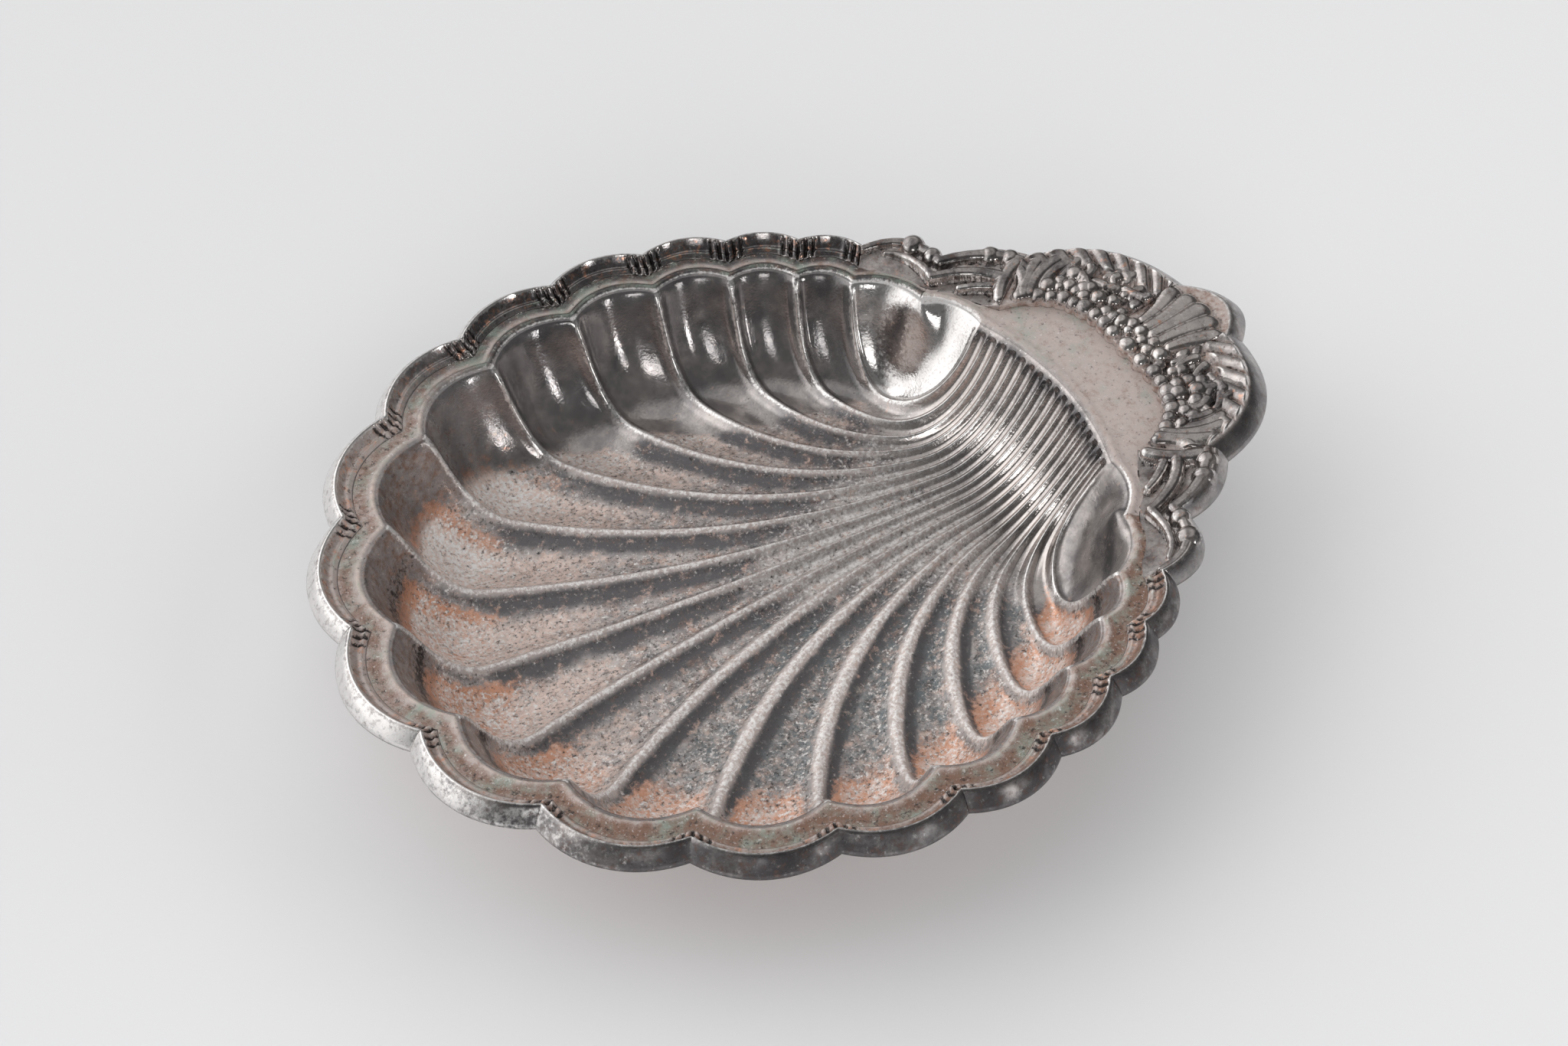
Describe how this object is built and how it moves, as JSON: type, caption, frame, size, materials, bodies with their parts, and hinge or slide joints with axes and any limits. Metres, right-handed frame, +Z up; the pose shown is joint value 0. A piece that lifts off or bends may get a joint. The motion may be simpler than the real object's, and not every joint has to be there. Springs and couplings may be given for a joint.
{
  "type": "metal platter",
  "caption": "Scallop-shell serving dish: fluted stamped bowl, lobed cast rim, grape and leaf handle, and ball feet, in tarnished silver plate.",
  "frame": {"origin": "middle of the dish's outline on the surface it stands on", "axes": "+X towards the handle, +Y to the left of someone facing the handle, +Z up; mirror plane Y = 0"},
  "size_m": [0.2538, 0.2064, 0.0423],
  "materials": {
    "silvered_sheet": "worn silver plate on copper sheet, tarnished, copper showing through in the flutes",
    "cast_mount": "silver-plated white-metal casting, dark tarnish in the hollows",
    "turned_foot": "silver-plated turned brass, tarnished"
  },
  "bodies": {
    "root": {"shell_bowl": "silvered_sheet", "rim_front": "cast_mount", "rim_left_front": "cast_mount", "rim_left_rear": "cast_mount", "rim_right_front": "cast_mount", "rim_right_rear": "cast_mount", "scroll_left": "cast_mount", "scroll_right": "cast_mount", "vine_left": "cast_mount", "vine_right": "cast_mount", "centre_leaf": "cast_mount", "foot_front": "turned_foot", "foot_left": "turned_foot", "foot_right": "turned_foot"}
  },
  "joints": []
}
